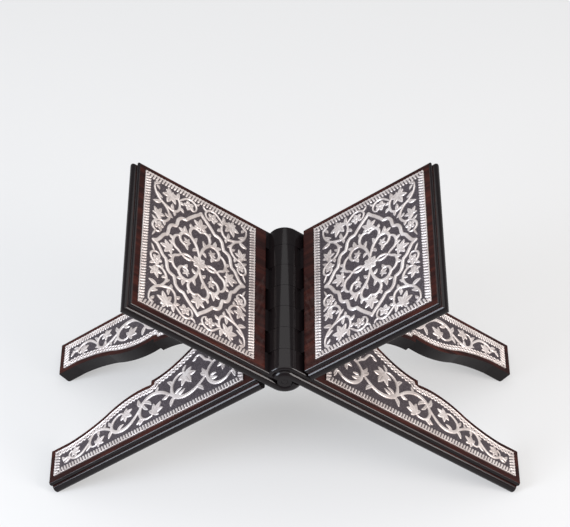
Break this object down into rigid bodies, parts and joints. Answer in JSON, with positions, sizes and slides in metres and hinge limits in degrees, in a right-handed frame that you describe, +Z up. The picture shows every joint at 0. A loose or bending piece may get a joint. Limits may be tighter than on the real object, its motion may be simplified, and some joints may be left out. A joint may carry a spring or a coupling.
{
  "type": "quran stand",
  "caption": "Folding X-shaped book stand of two interlocked wooden leaves on a hinge rod, with moulded edges, arched legs and embossed metal plates.",
  "frame": {"origin": "middle of the footprint, on the surface that the four feet stand on", "axes": "+X to the right across the open X, +Y away along the hinge rod, +Z up"},
  "size_m": [0.5834, 0.2366, 0.346],
  "materials": {
    "dark_wood": "gloss lacquer over dark red-brown stain",
    "silver_plate": "pressed sheet with a polished silver relief over an oxidised dark ground",
    "rod_steel": "drawn"
  },
  "bodies": {
    "leaf_a": {"leaf_a": "dark_wood", "hinge_rod": "rod_steel", "rod_plug_front": "dark_wood", "rod_plug_back": "dark_wood", "panel_plate_left": "silver_plate", "leg_plate_right_front": "silver_plate", "leg_plate_right_back": "silver_plate"},
    "leaf_b": {"leaf_b": "dark_wood", "panel_plate_right": "silver_plate", "leg_plate_left_front": "silver_plate", "leg_plate_left_back": "silver_plate"}
  },
  "joints": [
    {"name": "fold", "type": "hinge", "parent": "leaf_a", "child": "leaf_b", "pos_m": [0, 0, 0.21448], "axis": [0, -1, 0], "range_deg": [0, 104]}
  ]
}
